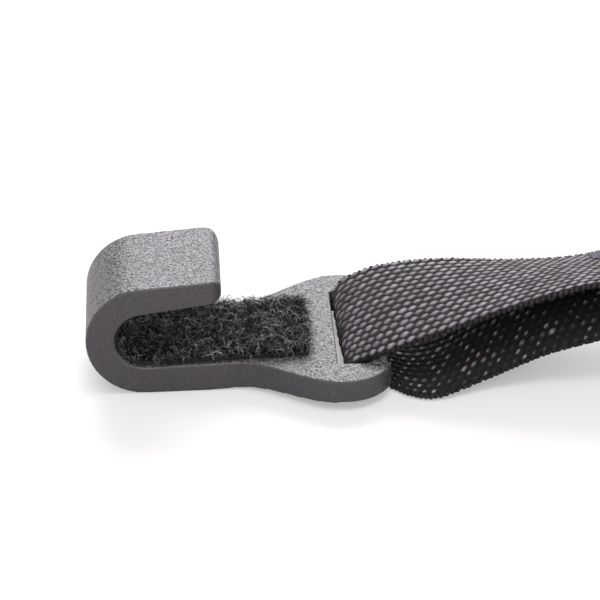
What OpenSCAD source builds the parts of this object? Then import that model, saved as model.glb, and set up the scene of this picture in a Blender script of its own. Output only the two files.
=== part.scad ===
// Windlass tourniquet with a J-hook closure, packed for storage.
// X runs along the strap, from the hook to the catch ring. Z is up. The origin is where the
// windlass axis meets the underside of the base plate.

/* [Webbing] */
// Width of the tension webbing and of the hook's loop
strap_w = 25.4; // [20:0.2:31]
// Thickness of that webbing
strap_t = 1.3; // [1:0.1:1.6]
// Width of the limb band
band_w = 38; // [30:1:50]
// Thickness of the limb band
band_t = 1.8; // [1.2:0.1:2.4]

/* [Hook] */
// Length of the hook from its bend to its strap end
hook_len = 53; // [44:1:66]
// Width of the hook at its bend and neck
hook_w = 21.4; // [17:0.2:26]
// Wall thickness at the bend
hook_wall = 5; // [4:0.1:6]
// Clear height inside the bend, before it is lined
hook_gap = 10.4; // [8.6:0.2:12.6]
// Reach of the arm over the base, from the bend's outside
hook_reach = 23.8; // [20:0.2:28]
// Width of the side rails beside the strap slot
hook_rail = 6.3; // [4:0.1:8]
// Diameter of the bar that carries the loop
hook_bar_d = 4.2; // [3.4:0.1:5]
// Thickness of the pile lining
pad_t = 1.6; // [1:0.1:2]
// Free length of the webbing loop, from the hook's bar to its seam
loop_len = 57.6; // [48:0.2:70]

/* [Limb band bundle] */
// Length of the folded bundle
hank_len = 84; // [70:1:110]
// Number of folded layers, an odd number
hank_layers = 7; // [5:2:9]
// Width of each elastic keeper
keeper_w = 14; // [10:1:16]
// Thickness of the keepers' elastic
keeper_t = 0.9; // [0.6:0.1:1.4]
// Length of the seam that joins the loop to the band
seam_len = 22; // [16:1:28]

/* [Base plate and windlass] */
// Length of the base plate
plate_len = 104; // [96:1:130]
// Width of the base plate
plate_w = 46; // [40:1:60]
// Thickness of the base plate
plate_t = 3; // [2.4:0.1:4]
// Length of the windlass rod
rod_len = 124; // [104:1:150]
// Diameter of the windlass rod
rod_d = 9.5; // [8:0.1:12]
// Diameter of the lock rings' hinge bar
ring_d = 3.2; // [2.4:0.1:3.8]
// Length of the lock rings, from hinge bar to tip bar
ring_len = 26; // [22:0.5:34]

/* [Adjuster and catch ring] */
// Diameter of the adjuster's strap bar
adjuster_bar_d = 4.4; // [3.6:0.1:5.4]
// Diameter of the catch ring's bar, which the hook grips
catch_bar_d = 5; // [4:0.1:6]
// Distance between the catch ring's two bars
catch_len = 22; // [20:0.5:30]

/* [Hidden] */
$fn = 72;

// Small gaps
lay_gap = 0.1;          // between pieces that lie on each other
run_gap = 0.05;         // radial gap of a wire in its groove
loop_gap = 0.1;         // between a bar and the webbing round it
slot_gap = 0.5;         // beside webbing in a slot, each side
arc_step = 15;          // degrees for each step of a rounded corner

// Hook
hook_r = hook_wall + hook_gap / 2;
hook_ri = hook_gap / 2;
hook_slot_w = strap_w + 2 * slot_gap;
hook_head_w = hook_slot_w + 2 * hook_rail;
hook_end_t = hook_wall * 0.84;
hook_end_lift = 1.5;
hook_corner_r = 8.2;
hook_flare = 18;
hook_slot_x = hook_len - 9.5;
hook_bar_x = hook_len - 0.5 - hook_bar_d / 2;
loop_r = hook_bar_d / 2 + loop_gap + strap_t / 2;
hook_bar_z = loop_r + strap_t / 2 + 0.35;
arm_slope_out = 4;
arm_slope_in = 7.5;
arm_corner_r = 3;
tip_top_r = 2;
tip_low_r = 0.8;
pad_w = hook_w - 1.4;
pad_end = hook_slot_x - 4.6;

// Base plate, tension strap and windlass
strap_z = plate_t + lay_gap + strap_t / 2;
hinge_x = plate_len / 2 - 6;
hinge_z = strap_z + strap_t / 2 + 0.5 + ring_d / 2;
barrel_r = ring_d / 2 + run_gap + 0.8;
rod_z = hinge_z + barrel_r + 0.4 + rod_d / 2;
flange_x0 = hinge_x - barrel_r - 7.5;
flange_t = 1.2;
foot_w = 4.6;
tunnel_w = strap_w + 2 * 0.4;
tunnel_z = strap_z + strap_t / 2 + 0.2;
rivet_x = flange_x0 + 3.2;
rivet_y = tunnel_w / 2 + foot_w / 2;
rivet_d = 2.5;
rivet_head_d = 4;
rivet_head_t = 0.9;
rib_w = 1.6;
rib_h = 1.4;
crown_x = flange_x0 - 1;
swirl_top = rod_z - rod_d / 2 - 0.3 - strap_t / 2;
crown_rise_x = rod_d / 2 + 2.2;
rod_slot_l = strap_w + 2.2;
rod_slot_h = strap_t + 1.5;
ring_hinge_half = tunnel_w / 2 + foot_w + ring_d / 2 + 0.6;
ring_tip_half = rod_d / 2 + ring_d / 2 + 1.9;
ring_bend_r = ring_d * 0.9;
ring_t = ring_d - 0.4;

// Adjuster
adj_x = -(plate_len / 2 + 44);
adj_loop_r = adjuster_bar_d / 2 + loop_gap + strap_t / 2;
adj_z = adj_loop_r + strap_t / 2 + 0.15;
adj_inner_w = band_w + 2;
adj_rail_w = 4.8;
adj_rail_r = adj_z - 0.6;
adj_len = 37;
grip_r = 1.7;
grip_x0 = -16;
grip_x1 = -10.5;
grip_turn_r = grip_r + lay_gap + band_t / 2;
grip_z = 0.3 + band_t / 2 + grip_turn_r;
load_z = grip_z - grip_turn_r;
tail_low_z = load_z + band_t + lay_gap;
lip_z = tail_low_z + band_t / 2 + 0.2;
lip_t = 2.6;
turn_end = -adj_len - 3;

// Bundle of limb band
pitch = band_t + 0.15;
layer_z0 = keeper_t + lay_gap + band_t / 2;
function layer_z(k) = layer_z0 + pitch * k;
hank_top = layer_z(hank_layers - 1) + band_t / 2;
hank_x1 = adj_x - adj_len - 19;
hank_x0 = hank_x1 - hank_len;
tail_z = hank_top + lay_gap + band_t / 2;
tab_t = 0.8;
tab_len = 20;
tail_lift = tab_t + 0.2;
tail_end = hank_x0 - 11;
seam_x1 = tail_end - 2 * tab_t - 2.2;
seam_x0 = seam_x1 - seam_len;
seam_z0 = hank_top + 0.05 + strap_t / 2;
seam_z1 = seam_z0 + strap_t + 0.05;
keeper_x0 = hank_x0 + 21 + keeper_w / 2;
keeper_x1 = hank_x1 - 3 - keeper_w / 2;
label_len = 22;
label_w = band_w - 8;
label_t = 0.4;
label_x = (keeper_x0 + keeper_x1) / 2;
hook_x0 = seam_x0 - loop_len - hook_bar_x;

// Catch ring
catch_x = plate_len / 2 + 44;
catch_loop_r = catch_bar_d / 2 + loop_gap + strap_t / 2;
catch_z = catch_loop_r + strap_t / 2 + 0.25;
catch_inner_w = max(strap_w, hook_w) + 6;
catch_tilt = asin((catch_z - catch_bar_d / 2 - 0.05) / catch_len);

// Stitching
thread_w = 0.7;
thread_t = 0.2;

// ---- Outline helpers: paths lie in the XZ plane ----

function unit(v) = v / norm(v);

// Points round the corner b between a and c, with radius r
function corner(a, b, c, r) =
    let (u = unit(b - a), v = unit(c - b),
         turn = acos(max(-1, min(1, u * v))),
         side = sign(u[0] * v[1] - u[1] * v[0]),
         start = b - u * r * tan(turn / 2),
         centre = start + side * r * [-u[1], u[0]],
         from = atan2(start[1] - centre[1], start[0] - centre[0]),
         n = max(2, ceil(turn / arc_step)))
    [for (i = [0:n]) centre + r * [cos(from + side * turn * i / n), sin(from + side * turn * i / n)]];

function flat(p) = [p[0], p[1]];

// A list of [x, z, radius] as a path with rounded corners
function rounded(p) =
    [for (i = [0:len(p) - 1])
        each i == 0 || i == len(p) - 1 || p[i][2] == 0
            ? [flat(p[i])]
            : corner(flat(p[i - 1]), flat(p[i]), flat(p[i + 1]), p[i][2])];

// The same for a closed outline
function rounded_loop(p) =
    let (n = len(p))
    [for (i = [0:n - 1])
        each p[i][2] == 0 ? [flat(p[i])]
            : corner(flat(p[(i + n - 1) % n]), flat(p[i]), flat(p[(i + 1) % n]), p[i][2])];

function clean(p) = [for (i = [0:len(p) - 1]) if (i == 0 || norm(p[i] - p[i - 1]) > 0.001) p[i]];

function side_of(p, d) =
    [for (i = [0:len(p) - 1])
        let (u = unit(p[min(i + 1, len(p) - 1)] - p[min(i, len(p) - 2)]),
             v = unit(p[max(i, 1)] - p[max(i - 1, 0)]),
             m = unit(u + v))
        p[i] + d * [-m[1], m[0]] / (m * u)];

function reversed(p) = [for (i = [len(p) - 1:-1:0]) p[i]];

module upright(w) rotate([90, 0, 0]) linear_extrude(w, center = true) children();

// A strip of webbing that follows a path of [x, z, corner radius]
module webbing(path, t, w) {
    p = clean(rounded(path));
    upright(w) polygon(concat(side_of(p, t / 2), reversed(side_of(p, -t / 2))));
}

module rounded_rect(l, w, r) {
    square([l - 2 * r, w], center = true);
    square([l, w - 2 * r], center = true);
    for (x = [-1, 1], y = [-1, 1]) translate([x * (l / 2 - r), y * (w / 2 - r)]) circle(r);
}

module bar_y(x, z, d, l) translate([x, 0, z]) rotate([90, 0, 0]) cylinder(d = d, h = l, center = true);

// A closed ring of round wire that follows the outline p in the XY plane, with bends of radius r.
// p runs anticlockwise.
module wire_ring(p, d, r)
    for (i = [0:len(p) - 1]) {
        a = p[i];
        b = p[(i + 1) % len(p)];
        c = p[(i + 2) % len(p)];
        u = unit(b - a);
        v = unit(c - b);
        turn = acos(u * v);
        before = acos(u * unit(a - p[(i + len(p) - 1) % len(p)]));
        from = a + u * r * tan(before / 2);
        to = b - u * r * tan(turn / 2);
        heading = atan2(u[1], u[0]);
        translate([from[0], from[1], 0]) rotate([0, 90, heading]) cylinder(d = d, h = norm(to - from));
        translate([to[0] - r * u[1], to[1] + r * u[0], 0]) rotate([0, 0, heading - 90])
            rotate_extrude(angle = turn) translate([r, 0]) circle(d = d);
    }

// A sewn box with a cross in it, on a face at height z, from x0 to x1
module box_stitch(x0, x1, w, z) {
    l = x1 - x0;
    a = atan2(w, l);
    translate([(x0 + x1) / 2, 0, z]) linear_extrude(thread_t) {
        difference() {
            square([l, w], center = true);
            square([l - 2 * thread_w, w - 2 * thread_w], center = true);
        }
        for (s = [-1, 1]) rotate(s * a) square([norm([l, w]) - 2 * thread_w, thread_w], center = true);
    }
}

// ---- Hook ----

// The top of the hook's base rises slightly from the bend to the strap end
hook_end_z = hook_end_lift + hook_end_t;
base_slope = (hook_end_z - hook_wall) / (hook_slot_x - hook_r);
function base_top(x) = hook_wall + (x - hook_r) * base_slope;

module hook_side() {
    inner_z = hook_r + hook_ri;
    reach = hook_reach - hook_r;
    tip_z = 2 * hook_r + reach * tan(arm_slope_out);
    tip_low = inner_z + reach * tan(arm_slope_in);
    far = 2 * hook_len;
    difference() {
        union() {
            translate([hook_r, hook_r]) circle(hook_r);
            polygon([[hook_r, 0], [hook_reach - 2, 0], [hook_slot_x, hook_end_lift],
                [hook_len, hook_end_lift], [hook_len, hook_end_z], [hook_slot_x, hook_end_z],
                [hook_r, hook_wall]]);
            polygon(rounded_loop([[hook_r, inner_z, 0], [hook_reach, tip_low, tip_low_r],
                [hook_reach, tip_z, tip_top_r], [hook_r, 2 * hook_r, 0]]));
        }
        translate([hook_r, hook_r]) circle(hook_ri);
        polygon([[hook_r, hook_wall], [hook_slot_x, hook_end_z], [hook_slot_x, tip_low],
            [hook_reach, tip_low], [hook_r, inner_z]]);
    }
}

module hook_plan() {
    steps = 12;
    half = [for (i = [0:steps])
        let (t = i / steps)
        [hook_slot_x + 0.5 - hook_flare * (1 - t),
         hook_w / 2 + (hook_head_w - hook_w) / 2 * t * t * (3 - 2 * t)]];
    neck = half[0][0];
    translate([-1, -hook_w / 2]) square([neck + 1, hook_w]);
    polygon(concat(half, reversed([for (p = half) [p[0], -p[1]]])));
    head = hook_len - half[steps][0];
    translate([half[steps][0], 0]) intersection() {
        translate([0, -hook_head_w / 2]) square([head, hook_head_w]);
        union() {
            translate([-hook_corner_r, -hook_head_w / 2 + hook_corner_r])
                square([head + hook_corner_r, hook_head_w - 2 * hook_corner_r]);
            translate([-hook_corner_r, -hook_head_w / 2])
                square([head, hook_head_w]);
            for (s = [-1, 1])
                translate([head - hook_corner_r, s * (hook_head_w / 2 - hook_corner_r)])
                    circle(hook_corner_r);
        }
    }
}

// What rounds off the two corners of the arm's tip, seen from above
module arm_corners() {
    for (s = [-1, 1])
        translate([hook_reach, s * hook_w / 2, hook_r + 1]) mirror([0, s > 0 ? 1 : 0, 0])
            linear_extrude(hook_r * 2) difference() {
                translate([-arm_corner_r, -1]) square(arm_corner_r + 1);
                translate([-arm_corner_r, arm_corner_r]) circle(arm_corner_r);
            }
}

module hook() color([0.13, 0.13, 0.135]) translate([hook_x0, 0, 0]) {
    difference() {
        intersection() {
            upright(hook_head_w) hook_side();
            translate([0, 0, -1]) linear_extrude(3 * hook_r) hook_plan();
        }
        arm_corners();
        translate([hook_slot_x, -hook_slot_w / 2, -1]) cube([hook_len, hook_slot_w, 3 * hook_r]);
    }
    bar_y(hook_bar_x, hook_bar_z, hook_bar_d, hook_slot_w + 0.6);
}

module hook_pile_lining() color([0.07, 0.07, 0.075]) translate([hook_x0, 0, 0]) upright(pad_w) {
    difference() {
        translate([hook_r, hook_r]) circle(hook_ri);
        translate([hook_r, hook_r]) circle(hook_ri - pad_t);
        translate([hook_r, 0]) square([hook_r, 3 * hook_r]);
    }
    polygon([[hook_r, base_top(hook_r)], [pad_end, base_top(pad_end)],
        [pad_end, base_top(pad_end) + pad_t], [hook_r, base_top(hook_r) + pad_t]]);
}

// ---- Webbing loop through the hook ----

module hook_loop() color([0.1, 0.095, 0.1])
    webbing([
        [seam_x1, seam_z1, 0],
        [seam_x0 - 3, seam_z1, 20],
        [hook_x0 + hook_bar_x + 12, hook_bar_z + 7.2, 30],
        [hook_x0 + hook_bar_x - loop_r, hook_bar_z + 6.2, 3],
        [hook_x0 + hook_bar_x - loop_r, hook_bar_z - loop_r, loop_r],
        [hook_x0 + hook_bar_x + 12, hook_bar_z - loop_r, 14],
        [seam_x0 - 19, seam_z0 - 7, 25],
        [seam_x0 - 2, seam_z0, 10],
        [seam_x1, seam_z0, 0]], strap_t, strap_w);

module hook_loop_stitching() color([0.16, 0.16, 0.17]) {
    box_stitch(seam_x0 + 2, seam_x1 - 2, strap_w - 6, seam_z1 + strap_t / 2);
    box_stitch(seam_x0 + 2, seam_x1 - 2, strap_w - 6, hank_top - band_t - thread_t);
}

// ---- Limb band, folded into a bundle ----

// The fold below layer k is at the adjuster's end of the bundle or at the hook's end by turns
function fold_x(k) = (hank_layers - 1 - k) % 2 == 0 ? hank_x1 : hank_x0;

module limb_band() color([0.09, 0.09, 0.095])
    webbing(concat(
        [[seam_x0, layer_z(hank_layers - 1), 0]],
        [for (k = [hank_layers - 1:-1:1]) each [
            [fold_x(k), layer_z(k), pitch / 2],
            [fold_x(k), layer_z(k - 1), pitch / 2]]],
        [[hank_x1 + 4, layer_z(0), 20],
         [hank_x1 + 12, load_z, 20],
         [adj_x + turn_end, load_z, 0]]), band_t, band_w);

module limb_band_adjuster_turn() color([0.09, 0.09, 0.095]) translate([adj_x, 0, 0])
    webbing([
        [turn_end, load_z, 0],
        [grip_x1 + grip_turn_r, load_z, grip_turn_r],
        [grip_x1 + grip_turn_r, grip_z + grip_turn_r, grip_turn_r],
        [grip_x0 - 1, grip_z + grip_turn_r, 5],
        [grip_x0 - 10, tail_low_z, 5],
        [turn_end, tail_low_z, 0]], band_t, band_w);

module tail_strap() color([0.09, 0.09, 0.095])
    webbing([
        [adj_x + turn_end, tail_low_z, 0],
        [adj_x + turn_end - 2, tail_low_z, 4],
        [hank_x1 + 4, tail_z, 4],
        [keeper_x0 - keeper_w / 2 - 4, tail_z, 6],
        [keeper_x0 - keeper_w / 2 - 9, tail_z + tail_lift, 6],
        [tail_end, tail_z + tail_lift, 0]], band_t, band_w);

// A coloured tab folded round the end of the tail
module tail_tab() color([0.62, 0.06, 0.05]) {
    z = tail_z + tail_lift;
    h = band_t / 2 + tab_t / 2;
    fold_x = tail_end - tab_t;
    webbing([
        [tail_end + tab_len, z + h, 0],
        [fold_x, z + h, tab_t],
        [fold_x, z - h, tab_t],
        [tail_end + tab_len - 7, z - h, 0]], tab_t, band_w);
}

module tail_tab_stitching() color([0.16, 0.16, 0.17])
    box_stitch(tail_end + 3, tail_end + tab_len - 3, band_w - 8, tail_z + tail_lift + band_t / 2 + tab_t);

module time_label() color([0.86, 0.86, 0.83])
    translate([label_x, 0, tail_z + band_t / 2]) linear_extrude(label_t)
        square([label_len, label_w], center = true);

module time_label_stitching() color([0.2, 0.2, 0.2])
    translate([label_x, 0, tail_z + band_t / 2 + label_t]) linear_extrude(thread_t / 2) difference() {
        square([label_len - 2, label_w - 2], center = true);
        square([label_len - 2 - 2 * thread_w, label_w - 2 - 2 * thread_w], center = true);
    }

module keeper(x) color([0.05, 0.05, 0.05]) {
    half = band_w / 2 + 0.35;
    top = tail_z + band_t / 2 + lay_gap;
    outer = rounded_loop([[-half - keeper_t, 0, 1.2], [half + keeper_t, 0, 1.2],
        [half + keeper_t, top + keeper_t, 1.2], [-half - keeper_t, top + keeper_t, 1.2]]);
    inner = [[-half, keeper_t], [half, keeper_t], [half, top], [-half, top]];
    translate([x, 0, 0]) rotate([90, 0, 90]) linear_extrude(keeper_w, center = true) difference() {
        polygon(outer);
        polygon(inner);
    }
}

module keeper_hook_side() keeper(keeper_x0);
module keeper_adjuster_side() keeper(keeper_x1);

// ---- Adjuster: a ladder-lock buckle ----

module adjuster_rail() {
    r = adj_rail_r;
    polygon(rounded_loop([[r, adj_z - r, r * 0.9], [r, adj_z + r, r * 0.9],
        [-adj_len, lip_z + lip_t + 0.3, 2.2], [-adj_len, adj_z - r + 1.3, 1.7]]));
}

module adjuster() color([0.12, 0.12, 0.125]) translate([adj_x, 0, 0]) {
    reach = adj_inner_w + 2;
    for (s = [-1, 1])
        translate([0, s * (adj_inner_w + adj_rail_w) / 2, 0]) upright(adj_rail_w) adjuster_rail();
    bar_y(0, adj_z, adjuster_bar_d, reach);
    // Grip bar
    upright(reach) polygon(rounded_loop([
        [grip_x0 - grip_r, grip_z - grip_r, grip_r * 0.9], [grip_x0 - grip_r, grip_z + grip_r, grip_r * 0.9],
        [grip_x1 + grip_r, grip_z + grip_r, grip_r * 0.9], [grip_x1 + grip_r, grip_z - grip_r, grip_r * 0.9]]));
    // Front lip, turned up into a thumb tab
    upright(reach) polygon(rounded_loop([
        [-adj_len + 8, lip_z, 1], [-adj_len + 8, lip_z + lip_t, 1],
        [-adj_len + 3, lip_z + lip_t + 0.6, 4], [-adj_len - 1.5, lip_z + lip_t + 3.2, 0.8],
        [-adj_len - 2.5, lip_z + 3.4, 0.8], [-adj_len + 2, lip_z, 3]]));
}

// ---- Tension strap ----

module end_loop(s, x, z, r, inner)
    mirror([s < 0 ? 0 : 1, 0, 0])
        webbing([
            [-inner, strap_z, 0],
            [-abs(x) + 20, strap_z, 15],
            [-abs(x) + 6, z + r, 12],
            [-abs(x) - r, z + r, r],
            [-abs(x) - r, z - r, r],
            [-abs(x) + 7, z - r, 10],
            [-abs(x) + 17, strap_z - strap_t - 0.05, 10],
            [-plate_len / 2 - 5, strap_z - strap_t - 0.05, 0]], strap_t, strap_w);

module tension_strap_adjuster_side() color([0.1, 0.095, 0.1])
    end_loop(-1, adj_x, adj_z, adj_loop_r, crown_x);

module tension_strap_ring_side() color([0.1, 0.095, 0.1])
    end_loop(1, catch_x, catch_z, catch_loop_r, crown_x);

module end_loop_stitching(s) {
    x0 = plate_len / 2 + 7;
    x1 = abs(adj_x) - 24;
    for (z = [strap_z + strap_t / 2, strap_z - 1.5 * strap_t - 0.05 - thread_t])
        box_stitch(min(s * x0, s * x1), max(s * x0, s * x1), strap_w - 6, z);
}

module adjuster_strap_stitching() color([0.16, 0.16, 0.17]) end_loop_stitching(-1);
module ring_strap_stitching() color([0.16, 0.16, 0.17]) end_loop_stitching(1);

// The strap leaves the base plate flat on both sides, turns a quarter round the windlass axis
// as it rises, and goes through the rod's slot from side to side.
swirl_steps = 14;
swirl_r = crown_x * 0.66;
crown_bend_r = strap_t + 0.1;
function smooth(t) = t * t * (3 - 2 * t);
function swirl_turn(r) = 90 * smooth(max(0, min(1, (swirl_r - r) / (swirl_r - crown_rise_x - crown_bend_r))));

// Distance from the axis, height and turn of one side's centre line, from plate to rod
crown_leg = concat(
    [for (i = [0:swirl_steps])
        let (t = i / swirl_steps, r = crown_x + (crown_rise_x + crown_bend_r - crown_x) * t)
        [r, strap_z + (swirl_top - strap_z) * smooth(t), swirl_turn(r)]],
    [for (a = [arc_step:arc_step:90])
        [crown_rise_x + crown_bend_r * (1 - sin(a)), swirl_top + crown_bend_r * (1 - cos(a)), 90]],
    [for (a = [0:arc_step:90])
        [crown_rise_x - crown_bend_r * (1 - cos(a)), rod_z - crown_bend_r * (1 - sin(a)), 90]]);

crown_path = concat(crown_leg, reversed([for (p = crown_leg) [-p[0], p[1], p[2]]]));

function crown_ring(i) =
    let (n = len(crown_path),
         a = crown_path[max(i - 1, 0)], b = crown_path[min(i + 1, n - 1)], p = crown_path[i],
         u = unit([b[0] - a[0], i == 0 || i == n - 1 ? 0 : b[1] - a[1]]),
         m = [-u[1], u[0]] * strap_t / 2)
    [for (q = [[1, -1], [1, 1], [-1, 1], [-1, -1]])
        let (r = -p[0] - q[0] * m[0], z = p[1] - q[0] * m[1], s = q[1] * strap_w / 2, c = cos(p[2]), k = sin(p[2]))
        [r * c - s * k, r * k + s * c, z]];

module tension_strap_crown() color([0.1, 0.095, 0.1]) {
    n = len(crown_path);
    polyhedron(
        points = [for (i = [0:n - 1]) each crown_ring(i)],
        faces = concat(
            [[0, 1, 2, 3]],
            [for (i = [0:n - 2], j = [0:3])
                let (a = 4 * i + j, b = 4 * i + (j + 1) % 4) each [[a, a + 4, b], [b, a + 4, b + 4]]],
            [[4 * n - 1, 4 * n - 2, 4 * n - 3, 4 * n - 4]]));
}

// ---- Base plate, clamps and lock rings ----

module base_plate() color([0.13, 0.13, 0.135]) difference() {
    union() {
        linear_extrude(plate_t) rounded_rect(plate_len, plate_w, 9);
        for (s = [-1, 1])
            translate([0, s * (plate_w / 2 - rib_w / 2 - 1), plate_t]) linear_extrude(rib_h)
                rounded_rect(2 * hinge_x - 14, rib_w, rib_w / 2 - 0.01);
    }
    for (x = [-1, 1], y = [-1, 1])
        translate([x * rivet_x, y * rivet_y, -1]) cylinder(d = rivet_d, h = plate_t + 2);
    for (x = [-1, 1], y = [-1, 1])
        translate([x * rivet_x, y * rivet_y, -1]) cylinder(d = rivet_head_d, h = 1 + rivet_head_t);
}

module ring_clamp(s) color([0.13, 0.13, 0.135]) mirror([s < 0 ? 1 : 0, 0, 0]) difference() {
    union() {
        bar_y(hinge_x, hinge_z, 2 * barrel_r, tunnel_w + 2 * foot_w);
        translate([hinge_x - barrel_r, -tunnel_w / 2 - foot_w, plate_t])
            cube([2 * barrel_r, tunnel_w + 2 * foot_w, hinge_z - plate_t]);
        translate([flange_x0, -tunnel_w / 2 - foot_w, plate_t])
            cube([hinge_x - flange_x0, tunnel_w + 2 * foot_w, tunnel_z - plate_t + flange_t]);
    }
    translate([flange_x0 - 1, -tunnel_w / 2, plate_t - 1])
        cube([plate_len, tunnel_w, tunnel_z - plate_t + 1]);
    bar_y(hinge_x, hinge_z, ring_d + 2 * run_gap, plate_w);
    translate([hinge_x - ring_d / 2 - run_gap, -plate_w / 2, plate_t - 1])
        cube([ring_d + 2 * run_gap, plate_w, hinge_z - plate_t + 1]);
    for (y = [-1, 1])
        translate([rivet_x, y * rivet_y, 0]) cylinder(d = rivet_d, h = 3 * plate_t);
}

module ring_clamp_adjuster_side() ring_clamp(-1);
module ring_clamp_catch_side() ring_clamp(1);

module clamp_rivets() color([0.55, 0.55, 0.57])
    for (x = [-1, 1], y = [-1, 1]) translate([x * rivet_x, y * rivet_y, 0]) {
        cylinder(d = rivet_head_d, h = rivet_head_t);
        cylinder(d = rivet_d, h = tunnel_z + flange_t);
        translate([0, 0, tunnel_z + flange_t]) cylinder(d = rivet_head_d, h = rivet_head_t);
    }

// A flat forged ring, narrower at its tip, on a round hinge bar
module lock_ring(s) color([0.3, 0.3, 0.31]) mirror([s < 0 ? 1 : 0, 0, 0]) {
    p = clean(rounded([[0, -ring_hinge_half, 0], [ring_len * 0.35, -ring_hinge_half, ring_bend_r],
        [ring_len, -ring_tip_half, ring_bend_r], [ring_len, ring_tip_half, ring_bend_r],
        [ring_len * 0.35, ring_hinge_half, ring_bend_r], [0, ring_hinge_half, 0]]));
    translate([hinge_x, 0, hinge_z]) linear_extrude(ring_t, center = true)
        polygon(concat(side_of(p, ring_d / 2), reversed(side_of(p, -ring_d / 2))));
    bar_y(hinge_x, hinge_z, ring_d, 2 * ring_hinge_half + ring_d + 0.4);
}

module lock_ring_adjuster_side() lock_ring(-1);
module lock_ring_catch_side() lock_ring(1);

// ---- Windlass rod ----

groove_d = 0.5;
groove_w = 1.2;
grooves = 5;

module windlass_rod() color([0.2, 0.2, 0.21]) translate([0, 0, rod_z]) difference() {
    rotate([0, 90, 0]) {
        cylinder(d = rod_d, h = rod_len - rod_d, center = true);
        for (s = [-1, 1]) translate([0, 0, s * (rod_len - rod_d) / 2]) sphere(d = rod_d);
    }
    cube([rod_slot_l - rod_slot_h, rod_d + 2, rod_slot_h], center = true);
    for (s = [-1, 1])
        translate([s * (rod_slot_l - rod_slot_h) / 2, 0, 0]) rotate([90, 0, 0])
            cylinder(d = rod_slot_h, h = rod_d + 2, center = true);
    for (s = [-1, 1], i = [0:grooves - 1])
        translate([s * (rod_len / 2 - rod_d - i * 2.6 * groove_w), 0, 0]) rotate([0, 90, 0])
            difference() {
                cylinder(d = rod_d + 2, h = groove_w, center = true);
                cylinder(d = rod_d - 2 * groove_d, h = groove_w + 1, center = true);
            }
}

// ---- Catch ring: the bar that the hook grips ----

module catch_ring() color([0.3, 0.3, 0.31])
    translate([catch_x, 0, catch_z]) rotate([0, catch_tilt, 0]) {
        y = catch_inner_w / 2 + catch_bar_d / 2;
        wire_ring([[0, -y], [catch_len, -y], [catch_len, y], [0, y]], catch_bar_d, catch_bar_d * 0.9);
    }

hook();
hook_pile_lining();
hook_loop();
hook_loop_stitching();
limb_band();
limb_band_adjuster_turn();
tail_strap();
tail_tab();
tail_tab_stitching();
time_label();
time_label_stitching();
keeper_hook_side();
keeper_adjuster_side();
adjuster();
tension_strap_adjuster_side();
adjuster_strap_stitching();
tension_strap_crown();
tension_strap_ring_side();
ring_strap_stitching();
base_plate();
windlass_rod();
lock_ring_adjuster_side();
lock_ring_catch_side();
ring_clamp_adjuster_side();
ring_clamp_catch_side();
clamp_rivets();
catch_ring();
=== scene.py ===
import math
import random

import bmesh
import bpy
import numpy as np
from mathutils import Matrix, Vector


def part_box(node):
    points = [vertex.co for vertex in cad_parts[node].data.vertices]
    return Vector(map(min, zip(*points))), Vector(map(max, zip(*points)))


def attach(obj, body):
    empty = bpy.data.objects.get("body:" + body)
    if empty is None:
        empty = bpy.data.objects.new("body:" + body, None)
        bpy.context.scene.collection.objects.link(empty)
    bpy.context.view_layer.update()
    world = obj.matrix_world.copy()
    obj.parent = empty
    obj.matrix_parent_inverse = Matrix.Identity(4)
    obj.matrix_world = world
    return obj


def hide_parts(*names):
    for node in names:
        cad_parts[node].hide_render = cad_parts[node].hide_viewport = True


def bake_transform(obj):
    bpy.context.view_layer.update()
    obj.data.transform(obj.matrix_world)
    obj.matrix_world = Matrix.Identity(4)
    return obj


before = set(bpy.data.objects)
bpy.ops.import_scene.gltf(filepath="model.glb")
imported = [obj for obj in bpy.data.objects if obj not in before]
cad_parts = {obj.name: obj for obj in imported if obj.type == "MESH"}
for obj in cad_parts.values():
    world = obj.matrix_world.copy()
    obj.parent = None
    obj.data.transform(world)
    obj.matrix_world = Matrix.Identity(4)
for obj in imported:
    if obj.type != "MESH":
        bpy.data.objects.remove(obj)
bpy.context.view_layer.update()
MM = 0.001

# ---------------------------------------------------------------- places, from the frame
lo = {n: np.array(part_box(n)[0]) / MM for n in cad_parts}
hi = {n: np.array(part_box(n)[1]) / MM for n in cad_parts}
HX = lo["hook"][0]            # the hook's left end; the hook and its loop are described from there
ROOT = "strap_and_plate"


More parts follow.
